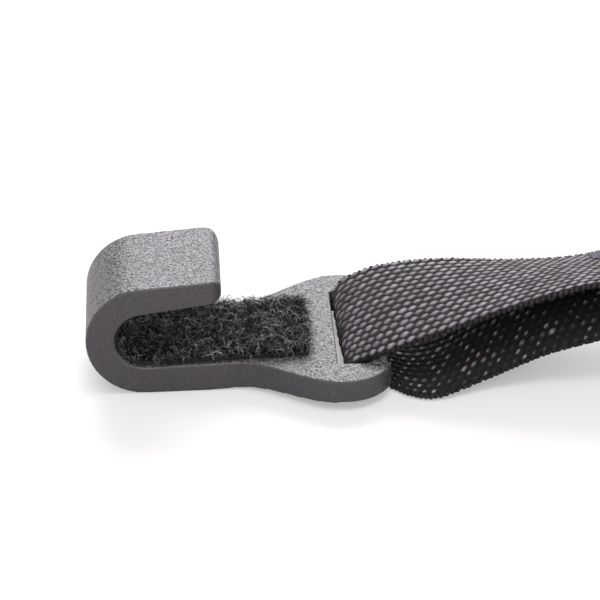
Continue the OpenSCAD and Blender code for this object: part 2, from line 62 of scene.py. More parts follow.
# ---------------------------------------------------------------- node helpers
class Nodes:
    """A material's node tree, with short ways to write its sums."""

    def __init__(self, name):
        self.m = bpy.data.materials.new(name)
        self.m.use_nodes = True
        self.t = self.m.node_tree
        self.bsdf = self.t.nodes["Principled BSDF"]

    def node(self, kind, **props):
        n = self.t.nodes.new(kind)
        for k, v in props.items():
            setattr(n, k, v)
        return n

    def put(self, socket, value):
        if hasattr(value, "is_output"):
            self.t.links.new(value, socket)
        else:
            socket.default_value = value

    def math(self, op, a, b=None, c=None):
        n = self.node("ShaderNodeMath", operation=op)
        for s, v in zip(n.inputs, (a, b, c)):
            if v is not None:
                self.put(s, v)
        return n.outputs[0]

    def noise(self, coords, scale, detail=2.0, rough=0.5):
        n = self.node("ShaderNodeTexNoise")
        self.put(n.inputs["Vector"], coords)
        n.inputs["Scale"].default_value = scale
        n.inputs["Detail"].default_value = detail
        n.inputs["Roughness"].default_value = rough
        return n.outputs["Fac"]

    def ramp(self, fac, *stops):
        n = self.node("ShaderNodeValToRGB")
        e = n.color_ramp.elements
        while len(e) < len(stops):
            e.new(0.5)
        for k, (pos, col) in enumerate(stops):
            e[k].position = pos
            e[k].color = (*col, 1) if len(col) == 3 else col
        self.put(n.inputs[0], fac)
        return n.outputs[0]

    def mix(self, fac, a, b):
        n = self.node("ShaderNodeMix", data_type="RGBA")
        self.put(n.inputs[0], fac)
        for k, v in ((6, a), (7, b)):
            self.put(n.inputs[k], (*v, 1) if isinstance(v, tuple) and len(v) == 3 else v)
        return n.outputs[2]

    def bump(self, height, distance, strength=1.0):
        n = self.node("ShaderNodeBump")
        n.inputs["Strength"].default_value = strength
        n.inputs["Distance"].default_value = distance
        self.put(n.inputs["Height"], height)
        return n.outputs[0]

    def object_coords(self):
        return self.node("ShaderNodeTexCoord").outputs["Object"]

    def shine(self, **values):
        for k, v in values.items():
            self.put(self.bsdf.inputs[k.replace("_", " ")], v)


# ---------------------------------------------------------------- materials
def moulded(name, dark, light, rough=0.42):
    """Moulded plastic: a spark-eroded grain on the faces along the strap, smooth on the side faces, with a
    painted highlight on its convex edges.
    """
    n = Nodes(name)
    p = n.object_coords()
    geo = n.node("ShaderNodeNewGeometry")
    sep = n.node("ShaderNodeSeparateXYZ")
    n.put(sep.inputs[0], geo.outputs["Normal"])
    side = n.math("ABSOLUTE", sep.outputs["Y"])
    grain_on = n.math("SUBTRACT", 1.0, n.math("SMOOTH_MIN", 1.0, n.math("MULTIPLY", side, 1.25), 0.1))
    grain_on = n.math("MAXIMUM", grain_on, 0.08)
    fine = n.noise(p, 3300, 1.0, 0.5)
    coarse = n.noise(p, 1800, 1.0)
    grain = n.math("ADD", n.math("MULTIPLY", fine, 0.65), n.math("MULTIPLY", coarse, 0.35))
    speck = n.math("MULTIPLY", n.math("SUBTRACT", grain, 0.5), grain_on)
    tone = n.ramp(n.math("ADD", n.math("MULTIPLY", speck, 7.0), 0.5), (0.0, dark), (1.0, light))
    # painted highlight: the convex edges are lightened as if they caught the light
    edge_highlight = n.node("ShaderNodeMapRange")
    n.put(edge_highlight.inputs["Value"], geo.outputs["Pointiness"])
    edge_highlight.inputs["From Min"].default_value = 0.53
    edge_highlight.inputs["From Max"].default_value = 0.66
    edge_highlight.inputs["To Max"].default_value = 0.55
    tone = n.mix(edge_highlight.outputs[0], tone, tuple(min(1.0, c * 1.3 + 0.05) for c in light))
    n.shine(Base_Color=tone, Roughness=n.math("ADD", n.math("MULTIPLY", speck, 0.5), rough),
            Normal=n.bump(n.math("MULTIPLY", grain, grain_on), 0.00022, 1.0))
    # the pits of the grain are shadowed, so they reflect less than its peaks
    n.put(n.bsdf.inputs["Specular IOR Level"],
          n.math("MINIMUM", n.math("MAXIMUM", n.math("ADD", n.math("MULTIPLY", speck, 2.4), 0.5), 0.05), 1.0))
    n.bsdf.inputs["IOR"].default_value = 1.5
    return n.m


def metal(name, colour, rough, scratch=0.3, metallic=1.0):
    """Coated or brushed metal, with fine scratches and rubbed high spots."""
    n = Nodes(name)
    p = n.object_coords()
    m = n.node("ShaderNodeMapping")
    n.put(m.inputs["Vector"], p)
    m.inputs["Scale"].default_value = (1, 6, 6)
    lines = n.noise(m.outputs[0], 900, 3.0, 0.7)
    cloud = n.noise(p, 160, 3.0, 0.6)
    rubbed = tuple(min(1, c * 1.5 + 0.02) for c in colour)
    tone = n.mix(n.math("MULTIPLY", n.math("POWER", cloud, 2.0), 0.9), colour, rubbed)
    n.shine(Base_Color=tone,
            Roughness=n.math("ADD", n.math("MULTIPLY", n.math("SUBTRACT", lines, 0.5), scratch), rough),
            Normal=n.bump(lines, 0.00002, 0.35))
    n.bsdf.inputs["Metallic"].default_value = metallic
    return n.m


def woven(name, gap, yarn, light, rough=0.40, sheen=0.05):
    """Woven tape. Shade is 0 in the gaps and up to 1 on a yarn; the near-black of the gaps is partly painted
    shade in the holes between the yarns, and shades above 1 reach a painted glint colour. The UV map strap is
    in millimetres.
    """
    n = Nodes(name)
    shade = n.node("ShaderNodeAttribute", attribute_name="shade").outputs["Fac"]
    m = n.node("ShaderNodeMapping")
    n.put(m.inputs["Vector"], n.node("ShaderNodeUVMap", uv_map="strap").outputs[0])
    m.inputs["Scale"].default_value = (1.0, 0.16, 1.0)
    filament = n.noise(m.outputs[0], 9.0, 2.0, 0.6)
    patch = n.noise(n.object_coords(), 320, 2.0, 0.6)
    level = n.math("ADD", shade, n.math("MULTIPLY", n.math("SUBTRACT", filament, 0.5), 0.75))
    level = n.math("ADD", level, n.math("MULTIPLY", n.math("SUBTRACT", patch, 0.5), 0.35))
    # painted highlight: the top of the ramp is a glint colour, reached where the shade and noise run high
    glint_colour = tuple(min(1.0, c * 2.0) for c in light)
    tone = n.ramp(n.math("MULTIPLY", level, 0.6), (0.13, gap), (0.33, yarn), (0.60, light), (1.0, glint_colour))
    n.shine(Base_Color=tone, Normal=n.bump(filament, 0.00012, 0.6))
    dull = n.math("SUBTRACT", 1.0, n.math("MINIMUM", shade, 1.0))
    n.shine(Roughness=n.math("ADD", n.math("MULTIPLY", dull, 0.5), rough))
    n.bsdf.inputs["Specular IOR Level"].default_value = 0.42
    n.bsdf.inputs["Sheen Weight"].default_value = sheen
    n.bsdf.inputs["Sheen Roughness"].default_value = 0.4
    return n.m


def fibre(name, dark, light):
    """Loose fibres: each has its own shade, held in the colour attribute called shade; the lightest fibres
    carry a painted glint.
    """
    n = Nodes(name)
    a = n.node("ShaderNodeAttribute", attribute_name="shade")
    low, high = tuple(d * 2 for d in dark), tuple(c * 0.6 for c in light)
    # painted highlight: the fibres at the top of the ramp are coloured as glints on the dark pile
    n.shine(Base_Color=n.ramp(a.outputs["Fac"], (0.0, dark), (0.68, low), (0.82, high), (1.0, light)))
    n.bsdf.inputs["Roughness"].default_value = 0.36
    n.bsdf.inputs["Specular IOR Level"].default_value = 0.1
    n.bsdf.inputs["Sheen Weight"].default_value = 0.05
    return n.m


def cloth(name, colour, scale=2600, rough=0.75, line_scale=1.0):
    """Fine plain cloth or thread."""
    n = Nodes(name)
    p = n.object_coords()
    a = n.node("ShaderNodeTexWave", bands_direction="X")
    b = n.node("ShaderNodeTexWave", bands_direction="Y")
    for w in (a, b):
        n.put(w.inputs["Vector"], p)
        w.inputs["Scale"].default_value = scale / 6.0 * line_scale
        w.inputs["Distortion"].default_value = 0.6
    weave = n.math("MAXIMUM", a.outputs["Fac"], b.outputs["Fac"])
    dirt = n.noise(p, 220, 3.0, 0.6)
    tone = n.mix(n.math("MULTIPLY", dirt, 0.5), colour, tuple(c * 0.62 for c in colour))
    n.shine(Base_Color=tone, Normal=n.bump(weave, 0.00008, 0.7))
    n.bsdf.inputs["Roughness"].default_value = rough
    n.bsdf.inputs["Sheen Weight"].default_value = 0.2
    return n.m


HOOK = moulded("moulded_hook", (0.004, 0.003, 0.004), (0.176, 0.163, 0.182), 0.36)
PLASTIC = moulded("moulded_black", (0.022, 0.022, 0.023), (0.060, 0.060, 0.063), 0.42)
TAPE = woven("tension_tape", (0.004, 0.0035, 0.004), (0.042, 0.033, 0.041), (0.285, 0.230, 0.282), 0.34)
BAND = woven("band_tape", (0.004, 0.004, 0.0045), (0.032, 0.031, 0.034), (0.17, 0.168, 0.178), 0.5)
ELASTIC = woven("elastic_tape", (0.004, 0.004, 0.004), (0.016, 0.016, 0.017), (0.050, 0.050, 0.052), 0.65)
# the pile's light colour is a painted glint; the fibres themselves are near black
PILE = fibre("pile_fibre", (0.0022, 0.0022, 0.0025), (0.80, 0.79, 0.82))
BACKING = cloth("pile_backing", (0.006, 0.006, 0.0065))
THREAD = cloth("thread", (0.05, 0.05, 0.055), 5000, 0.45)
TACK = cloth("tack_thread", (0.085, 0.095, 0.125), 5000, 0.5)
TAB = cloth("tab_tape", (0.42, 0.035, 0.022), 2200)
LABEL = cloth("label_cloth", (0.62, 0.62, 0.58), 3200)
STEEL = metal("blackened_steel", (0.055, 0.055, 0.060), 0.34)
RIVET = metal("rivet_steel", (0.27, 0.27, 0.28), 0.34)
ROD = metal("anodised_rod", (0.050, 0.050, 0.055), 0.36, 0.25)


# ---------------------------------------------------------------- mesh helpers
def make(name, verts, faces, material, body, stands_for=(), smooth=True):
    """A visible piece. A piece that is blended between two bodies is made with no body of its own."""
    me = bpy.data.meshes.new(name)
    me.from_pydata([tuple(v) for v in verts], [], [tuple(f) for f in faces])
    me.validate()
    ob = bpy.data.objects.new(name, me)
    bpy.context.scene.collection.objects.link(ob)
    if smooth:
        me.polygons.foreach_set("use_smooth", [True] * len(me.polygons))
    me.materials.append(material)
    bm = bmesh.new()
    bm.from_mesh(me)
    bmesh.ops.recalc_face_normals(bm, faces=bm.faces)
    bm.to_mesh(me)
    bm.free()
    me.update()
    if body:
        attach(ob, body)
    if stands_for:
        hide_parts(*stands_for)
    return ob


def set_uv(ob, per_vertex):
    """Store the distances across and along the strap, in mm, as the UV map strap."""
    me = ob.data
    layer = me.uv_layers.new(name="strap")
    idx = np.empty(len(me.loops), dtype=np.int64)
    me.loops.foreach_get("vertex_index", idx)
    layer.data.foreach_set("uv", np.asarray(per_vertex)[idx].ravel())


def corner(a, b, c, r):
    """The arc of radius r that rounds the corner b between a and c."""
    u = (b - a) / np.linalg.norm(b - a)
    v = (c - b) / np.linalg.norm(c - b)
    turn = math.acos(max(-1, min(1, float(u @ v))))
    side = 1 if u[0] * v[1] - u[1] * v[0] > 0 else -1
    start = b - u * r * math.tan(turn / 2)
    centre = start + side * r * np.array([-u[1], u[0]])
    begin = math.atan2(start[1] - centre[1], start[0] - centre[0])
    n = max(3, int(math.degrees(turn) / 6))
    angles = [begin + side * turn * i / n for i in range(n + 1)]
    return [centre + r * np.array([math.cos(g), math.sin(g)]) for g in angles]


def rounded(pts):
    """[(x, z, radius), ...] as a path with rounded corners."""
    p = [np.array(q[:2], float) for q in pts]
    out = []
    for i, q in enumerate(pts):
        if i in (0, len(pts) - 1) or q[2] == 0:
            out.append(p[i])
        else:
            out += corner(p[i - 1], p[i], p[i + 1], q[2])
    return np.array(out)


def resample(p, step):
    """The path at even steps, and the distance along it of each point."""
    d = np.r_[0, np.cumsum(np.linalg.norm(np.diff(p, axis=0), axis=1))]
    keep = np.r_[True, np.diff(d) > 1e-6]
    d, p = d[keep], p[keep]
    n = max(2, int(round(d[-1] / step)) + 1)
    s = np.linspace(0, d[-1], n)
    return np.stack([np.interp(s, d, p[:, k]) for k in range(p.shape[1])], 1), s


def soften(p, times):
    """A path with each inner point moved towards its neighbours."""
    q = p.copy()
    for _ in range(times):
        q[1:-1] = (q[:-2] + 2 * q[1:-1] + q[2:]) / 4
    return q


def smooth_curve(points):
    """A Catmull-Rom curve through the points."""
    p = np.asarray(points, float)
    p = np.vstack([2 * p[0] - p[1], p, 2 * p[-1] - p[-2]])
    out = []
    for i in range(1, len(p) - 2):
        for t in np.linspace(0, 1, 24, endpoint=False):
            a, b, c, d = p[i - 1:i + 3]
            out.append(0.5 * (2 * b + (c - a) * t + (2 * a - 5 * b + 4 * c - d) * t ** 2
                              + (3 * b - a - 3 * c + d) * t ** 3))
    out.append(p[-2])
    return np.array(out)


def set_shade(ob, shade):
    """Store one shade a point, for the materials to read: random tone together with painted highlight and
    shade.
    """
    col = ob.data.color_attributes.new("shade", "FLOAT_COLOR", "POINT")
    arr = np.repeat(np.asarray(shade, dtype=np.float32)[:, None], 4, axis=1)
    arr[:, 3] = 1
    col.data.foreach_set("color", arr.ravel())


def frames(grid, closed=False):
    """Unit vectors along, across and out of a grid of points."""
    ahead = np.diff(grid, axis=0)
    ahead /= np.linalg.norm(ahead, axis=2, keepdims=True)
    before = ahead[-1:] if closed else ahead[:1]
    after = ahead[:1] if closed else ahead[-1:]
    along = np.concatenate([before, ahead]) + np.concatenate([ahead, after])
    across = np.gradient(grid, axis=1)
    along /= np.linalg.norm(along, axis=2, keepdims=True)
    across /= np.linalg.norm(across, axis=2, keepdims=True)
    out = np.cross(along, across)
    return along, across, out / np.linalg.norm(out, axis=2, keepdims=True)


def skin(grid, s, width, off, closed=False):
    """A closed tape round a grid: its points, faces and UVs."""
    n, m, _ = grid.shape
    out = frames(grid, closed)[2]
    u = np.linspace(-width / 2, width / 2, m)
    edge = np.clip(1 - (np.abs(u) / (width / 2)) ** 16, 0, 1) ** 0.5
    lift = (off * np.ones((n, m)) * edge)[..., None]
    U, S = np.meshgrid(u, s)
    uv = np.stack([U, S], 2)
    ring = 2 * m - 2
    verts = np.concatenate([grid + out * lift, (grid - out * lift)[:, m - 2:0:-1]], axis=1)
    uvs = np.concatenate([uv, uv[:, m - 2:0:-1]], axis=1)
    if closed:
        verts, uvs, n = verts[:-1], uvs[:-1], n - 1
    rows = np.arange(n if closed else n - 1)[:, None]
    a = rows * ring
    b = ((rows + 1) % n) * ring
    j = np.arange(ring)[None, :]
    k = (j + 1) % ring
    faces = np.stack([a + j, a + k, b + k, b + j], 2).reshape(-1, 4).tolist()
    if not closed:
        faces.append(list(range(ring))[::-1])
        faces.append([(n - 1) * ring + q for q in range(ring)])
    return verts.reshape(-1, 3), faces, uvs.reshape(-1, 2)


ACROSS = np.array([-1.0, -0.6, 0.0, 0.6, 1.0])
ARCH = np.array([0.0, 0.78, 1.0, 0.78, 0.0])
ALONG = np.array([-0.97, -0.6, 0.0, 0.6, 0.97])


def lens(count, length, half, rise, rng):
    """The shape of a yarn float for each of count places: along, across, height and shade."""
    taper = (1 - 0.48 * np.abs(ALONG) ** 2.4)[:, None]
    hump = ((1 - ALONG ** 2) ** 0.6)[:, None]
    a = ALONG[:, None] * length * np.ones(5)[None, :]
    b = ACROSS[None, :] * half * taper
    h = ARCH[None, :] * rise * hump
    # painted highlight and shade: each float is lighter on its crest and darker towards its ends and sides;
    # level below gives each float its own random tone
    tone = (0.15 + 0.85 * hump) * (0.30 + 0.70 * ARCH[None, :] ** 1.5)
    size = rng.uniform(0.9, 1.08, (count, 1, 1))
    level = rng.uniform(0.78, 1.05, (count, 1, 1))
    tall = rng.uniform(0.75, 1.1, (count, 1, 1))
    return a * size, b * size, h * tall, tone * level


LENS_N = 5                    # points along and points across one float
LENS_FACES = np.array([[LENS_N * r + c, LENS_N * r + (c + 1) % LENS_N,
                        LENS_N * (r + 1) + (c + 1) % LENS_N, LENS_N * (r + 1) + c]
                       for r in range(LENS_N - 1) for c in range(LENS_N)])


def floats(grid, s, width, rib, period, base, rise, side, span, rng, slant=0.50, shaded_from=None):
    """Yarn floats on one face of a tape, in a brick pattern, between two distances along it.

    From the distance shaded_from on, a painted shadow darkens the tape through its shade values, and painted
    glints stay on some floats."""
    out = frames(grid)[2]
    ribs = int(round(width / rib))
    pitch = width / ribs
    first, last = max(span[0], s[0] + 0.4), min(span[1], s[-1] - 0.4)
    places = [(j, (i + 0.5 * (j % 2)) * period) for j in range(ribs)
              for i in range(int(first / period), int(last / period) + 1)]
    places = [(j, v) for j, v in places if first <= v <= last]
    j = np.array([q[0] for q in places])
    v = np.array([q[1] for q in places]) + rng.uniform(-0.09, 0.09, len(places))
    u = (j + 0.5) * pitch - width / 2
    a, b, h, tone = lens(len(places), period * 0.54, pitch * 0.46, rise, rng)
    if shaded_from is not None:
        # painted shadow of the upper leg: in the shaded part only each float's crest keeps a painted glint,
        # and on some ribs the whole float
        shaded = (v >= shaded_from)[:, None, None]
        lit_rib = (j % 5 == 2)[:, None, None]
        glint = rng.uniform(0.9, 1.9, (len(places), 1, 1))
        tone = np.where(shaded, np.where(lit_rib, tone ** 3, 1.3 * tone ** 8) * glint, tone)
    tilt = (slant + rng.uniform(-0.06, 0.06, len(places)))[:, None, None] * side
    U = u[:, None, None] + b * np.cos(tilt) + a * np.sin(tilt)
    S = v[:, None, None] + a * np.cos(tilt) - b * np.sin(tilt)
    U = np.clip(U, -width / 2 + 0.02, width / 2 - 0.02)
    S = np.clip(S, s[0] + 0.01, s[-1] - 0.01)
    fi = np.interp(S, s, np.arange(len(s)))
    fj = (U / width + 0.5) * (grid.shape[1] - 1)
    i0 = np.minimum(fi.astype(int), len(s) - 2)
    j0 = np.minimum(fj.astype(int), grid.shape[1] - 2)
    ti, tj = (fi - i0)[..., None], (fj - j0)[..., None]

    def at(f):
        return ((f[i0, j0] * (1 - tj) + f[i0, j0 + 1] * tj) * (1 - ti)
                + (f[i0 + 1, j0] * (1 - tj) + f[i0 + 1, j0 + 1] * tj) * ti)

    P = at(grid) + side * (base - 0.06 + h)[..., None] * at(out)
    return lens_mesh(P, tone, a, b + u[:, None, None] * 7.3)


def lens_mesh(P, tone, a, b):
    """Closed float shapes from their points: points, faces, UVs and shades."""
    count = len(P)
    size = LENS_N * LENS_N
    faces = (LENS_FACES[None] + (size * np.arange(count))[:, None, None]).reshape(-1, 4).tolist()
    for q in range(count):
        faces.append([size * q + k for k in reversed(range(LENS_N))])
        faces.append([size * (q + 1) - LENS_N + k for k in range(LENS_N)])
    shade = np.broadcast_to(tone, a.shape).reshape(-1)
    return P.reshape(-1, 3), faces, np.stack([b.reshape(-1), a.reshape(-1)], 1), shade


def selvedge(grid, s, t, rng, pitch=0.98):
    """Yarns that wrap round both edges of a tape."""
    along, across, out = frames(grid)
    parts = []
    for e, col in ((-1, 0), (1, grid.shape[1] - 1)):
        v = np.arange(s[0] + pitch, s[-1] - pitch, pitch)
        v = v + rng.uniform(-0.08, 0.08, len(v))

        def at(f):
            return np.stack([np.interp(v, s, f[:, col, k]) for k in range(3)], 1)[:, None, None, :]

        T, E, N = at(along), e * at(across), at(out)
        a, b, h, tone = lens(len(v), t * 0.46, 0.42, 0.30, rng)
        lean = math.radians(56)
        d1 = math.cos(lean) * T + math.sin(lean) * N
        d2 = -math.sin(lean) * T + math.cos(lean) * N
        P = at(grid) + d1 * a[..., None] + d2 * b[..., None] + E * (h * 0.25 - 0.12)[..., None]
        parts.append(lens_mesh(P, tone * 0.62, a, b))
    return parts


def join_parts(parts):
    """One mesh from several: points, faces, UVs and shades."""
    V, F, T, C = [], [], [], []
    n = 0
    for v, f, uv, sh in parts:
        V.append(v)
        T.append(uv)
        C.append(sh)
        F += [[k + n for k in g] for g in f]
        n += len(v)
    return np.concatenate(V), F, np.concatenate(T), np.concatenate(C)


def woven_tape(name, grid, s, width, t, material, body, stands_for=(), rib=1.6, period=1.85,
               faces=((1, None), (-1, None)), seed=1, rise=0.33, shaded_from=None):
    """Tape with its yarns modelled: a dark core (partly painted shade in the gaps between floats), floats on
    the named faces, and wrapped edges.
    """
    rng = np.random.default_rng(seed)
    core = t / 2 - rise + 0.06
    v, f, uv = skin(grid, s, width - 0.3, core)
    # shade 0 on the core: partly painted shade in the holes between the floats
    parts = [(v, f, uv, np.full(len(v), 0.0))]
    for side, span in faces:
        span = span or (s[0], s[-1])
        parts.append(floats(grid, s, width - 0.5, rib, period, core, rise, side, span, rng,
                            shaded_from=shaded_from))
    parts += selvedge(grid, s, t, rng)
    V, F, T, C = join_parts(parts)
    ob = make(name, V * MM, F, material, body, stands_for)
    set_uv(ob, T)
    set_shade(ob, C)
    return ob


def densify(p, step):
    """The path with points added so that none are more than step apart."""
    out = [p[0]]
    for a, b in zip(p[:-1], p[1:]):
        gap = np.linalg.norm(b - a)
        if gap < 1e-5:
            continue
        n = max(1, int(math.ceil(gap / step)))
        out += [a + (b - a) * k / n for k in range(1, n + 1)]
    return np.array(out)


def strip(path, width, step, samples, wander=0.0, seed=0.0):
    """The middle surface of a tape that follows (x, z) points in the strap's plane."""
    p = densify(np.asarray(path, float), step)
    s = np.r_[0, np.cumsum(np.linalg.norm(np.diff(p, axis=0), axis=1))]
    u = np.linspace(-width / 2, width / 2, samples)
    ease = np.clip(np.minimum(s, s[-1] - s) / 12, 0, 1)
    shift = ease * wander * (np.sin(s / 23.0 + seed) + 0.4 * np.sin(s / 9.1 + 2 * seed))
    grid = np.empty((len(p), samples, 3))
    grid[..., 0] = p[:, None, 0]
    grid[..., 1] = u[None, :] + shift[:, None]
    grid[..., 2] = p[:, None, 1]
    return grid, s


def stitch_shape(a, b, r, up):
    """One stitch from a to b: a low lens of thread."""
    a, b, up = (np.asarray(v, float) for v in (a, b, up))
    d = (b - a) / np.linalg.norm(b - a)
    w = np.cross(up, d)
    V, F = [], []
    rings, sides = 6, 8
    for i in range(rings + 1):
        t = i / rings
        c = a + (b - a) * t
        rr = r * (math.sin(math.pi * (0.08 + 0.84 * t)) ** 0.6)
        lift = up * r * 0.5 * math.sin(math.pi * t)
        for k in range(sides):
            g = 2 * math.pi * k / sides
            V.append(c + lift + w * rr * math.cos(g) + up * rr * 0.75 * math.sin(g))
    for i in range(rings):
        for k in range(sides):
            q = (k + 1) % sides
            F.append([i * sides + k, (i + 1) * sides + k, (i + 1) * sides + q, i * sides + q])
    F.append(list(range(sides)))
    F.append([rings * sides + k for k in range(sides)][::-1])
    return V, F


def stitching(name, lines, material, body, stands_for=(), r=0.3, length=2.3, gap=0.55, extra=()):
    """Runs of stitches. Each line is (start, end, up), in mm."""
    V, F = [], []
    for a, b, up in lines:
        a, b = np.asarray(a, float), np.asarray(b, float)
        total = np.linalg.norm(b - a)
        n = max(1, int(round(total / (length + gap))))
        for i in range(n):
            p = a + (b - a) * (i + 0.1) / n
            q = a + (b - a) * (i + 0.9) / n
            v, f = stitch_shape(p, q, r, up)
            F += [[k + len(V) for k in g] for g in f]
            V += v
    for a, b, up, rr in extra:
        v, f = stitch_shape(a, b, rr, up)
        F += [[k + len(V) for k in g] for g in f]
        V += v
    return make(name, np.array(V) * MM, F, material, body, stands_for)


def box_lines(x0, x1, w, z, up=(0, 0, 1), cross=True):
    """The lines of a box stitch, with a cross inside it if asked."""
    y = w / 2
    c = [(x0, -y, z), (x1, -y, z), (x1, y, z), (x0, y, z)]
    out = [(c[i], c[(i + 1) % 4], up) for i in range(4)]
    if cross:
        out += [(c[0], c[2], up), (c[1], c[3], up)]
    return out


def cleaned_copy(node, material, body, voxel, smooth=6, name=None):
    """A CAD node with its edges rounded as a moulding's are."""
    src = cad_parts[node]
    me = src.data.copy()
    ob = bpy.data.objects.new(name or node + "_moulded", me)
    bpy.context.scene.collection.objects.link(ob)
    weld = ob.modifiers.new("weld", "WELD")
    weld.merge_threshold = 1e-6
    rm = ob.modifiers.new("remesh", "REMESH")
    rm.mode = "VOXEL"
    rm.voxel_size = voxel * MM
    rm.use_smooth_shade = True
    sm = ob.modifiers.new("smooth", "SMOOTH")
    sm.factor = 0.5
    sm.iterations = smooth
    deps = bpy.context.evaluated_depsgraph_get()
    done = bpy.data.meshes.new_from_object(ob.evaluated_get(deps))
    ob.modifiers.clear()
    ob.data = done
    bpy.data.meshes.remove(me)
    done.materials.clear()
    done.materials.append(material)
    done.polygons.foreach_set("use_smooth", [True] * len(done.polygons))
    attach(ob, body)
    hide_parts(node)
    return ob


def eased(node, material, width, segments=2, angle=32):
    """A CAD node with its sharp edges broken, as a moulding or a pressed part has them."""
    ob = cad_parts[node]
    ob.data.materials.clear()
    ob.data.materials.append(material)
    ob.data.polygons.foreach_set("use_smooth", [True] * len(ob.data.polygons))
    weld = ob.modifiers.new("weld", "WELD")
    weld.merge_threshold = 2e-6
    flat = ob.modifiers.new("flat", "DECIMATE")
    flat.decimate_type = "DISSOLVE"
    flat.angle_limit = math.radians(0.6)
    bev = ob.modifiers.new("edges", "BEVEL")
    bev.width = width * MM
    bev.segments = segments
    bev.limit_method = "ANGLE"
    bev.angle_limit = math.radians(angle)
    bev.use_clamp_overlap = True
    ob.modifiers.new("normals", "WEIGHTED_NORMAL").keep_sharp = False
    return ob


def fibres(name, roots, normals, length, radius, rng, material, body, stands_for=(), curl=0.9):
    """Short curly fibres, one from each root, as thin three-sided tubes."""
    V, F, shade = [], [], []
    for p, nrm in zip(roots, normals):
        d = Vector(nrm) + Vector((rng.gauss(0, 0.55), rng.gauss(0, 0.55), rng.gauss(0, 0.3)))
        d.normalize()
        swirl = Vector((rng.gauss(0, 1), rng.gauss(0, 1), rng.gauss(0, 1))).normalized()
        p = Vector(p)
        segs = 4
        ell = length * rng.uniform(0.6, 1.25) / segs
        rad = radius * rng.uniform(0.7, 1.25)
        # a random tone for each fibre; the highest give the painted glints
        tone = rng.random() ** 1.3
        first = len(V)
        for i in range(segs + 1):
            side = d.cross(Vector((0.31, 0.87, 0.39))).normalized()
            other = d.cross(side)
            r = rad * (1 - 0.55 * i / segs)
            for k in range(3):
                a = 2 * math.pi * k / 3
                V.append(tuple(p + side * (r * math.cos(a)) + other * (r * math.sin(a))))
                shade.append(tone)
            p = p + d * ell
            d = (d + d.cross(swirl) * curl * rng.uniform(0.5, 1.3)
                 + Vector((rng.gauss(0, 0.25), rng.gauss(0, 0.25), rng.gauss(0, 0.25)))).normalized()
        for i in range(segs):
            for k in range(3):
                q = (k + 1) % 3
                a = first + 3 * i
                F.append((a + k, a + q, a + 3 + q, a + 3 + k))
        e = first + 3 * segs
        F.append((e, e + 1, e + 2))
        F.append((first + 2, first + 1, first))
    ob = make(name, np.array(V) * MM, F, material, body, stands_for)
    set_shade(ob, shade)
    return ob


# ---------------------------------------------------------------- hook
cleaned_copy("hook", HOOK, "hook_body", 0.21, 3, "hook_moulding")

BEND_R = 10.2
BEND_IN = 5.2
PILE_HALF = 9.6
rng = random.Random(7)


def hook_top(x):
    """Height of the base's top face at x from the hook's left end."""
    return 5.0 + (x - BEND_R) * 0.0210


def lining_path(depth, bend=True, base=True):
    """Inner face of the hook, offset inwards by depth: down the bend, then along the base."""
    pts = []
    r = BEND_IN - depth
    if bend:
        for a in np.linspace(90, 270, 40):
            pts.append((BEND_R + r * math.cos(math.radians(a)), BEND_R + r * math.sin(math.radians(a))))
    if base:
        for x in np.linspace(BEND_R + 0.5, 38.6, 60):
            pts.append((x, hook_top(x) + depth))
    return np.array(pts)


def pile_backing():
    outer, inner = lining_path(0.03), lining_path(0.55)
    n = len(outer)
    V, F = [], []
    for y in (-PILE_HALF, PILE_HALF):
        for p in outer:
            V.append((HX + p[0], y, p[1]))
        for p in inner:
            V.append((HX + p[0], y, p[1]))
    for i in range(n - 1):
        a, b, c, d = i, i + n, i + 2 * n, i + 3 * n
        F += [(a, a + 1, b + 1, b), (c, d, d + 1, c + 1), (b, b + 1, d + 1, d), (a, c, c + 1, a + 1)]
    F += [(0, n, 3 * n, 2 * n), (n - 1, 3 * n - 1, 4 * n - 1, 2 * n - 1)]
    make("hook_pile_backing", np.array(V) * MM, F, BACKING, "hook_body", smooth=False)


def pile(name, path, count, length, stands_for=()):
    path, _ = resample(path, 0.05)
    tang = np.gradient(path, axis=0)
    tang /= np.linalg.norm(tang, axis=1, keepdims=True)
    roots, normals = [], []
    for _ in range(count):
        i = rng.randrange(len(path))
        y = rng.uniform(0.3 - PILE_HALF, PILE_HALF - 0.3)
        roots.append((HX + path[i][0] + rng.gauss(0, 0.05), y, path[i][1]))
        normals.append((-tang[i][1], -0.25 * y / PILE_HALF if abs(y) > 8.4 else 0.0, tang[i][0]))
    fibres(name, roots, normals, length, 0.052, rng, PILE, "hook_body", stands_for, 1.6)


pile_backing()
BASE_PILE = lining_path(0.35, bend=False)
pile("hook_pile_base", BASE_PILE[:31], 7600, 3.1, ("hook_pile_lining",))
pile("hook_pile_end", BASE_PILE[29:], 7600, 3.1)
pile("hook_pile_bend", lining_path(0.35, base=False), 6400, 2.6)


# ---------------------------------------------------------------- the webbing loop
STRAP_W, STRAP_T = 25.4, 1.3
BAND_W, BAND_T = 38.0, 1.8
STRAP_RIB, STRAP_PICK = 25.4 / 16, 1.85
BAND_RIB, BAND_PICK = 38.0 / 23, 2.0
STRAP_POINTS, BAND_POINTS = 33, 47      # points across a tape's middle surface
MIDDLE = STRAP_POINTS // 2


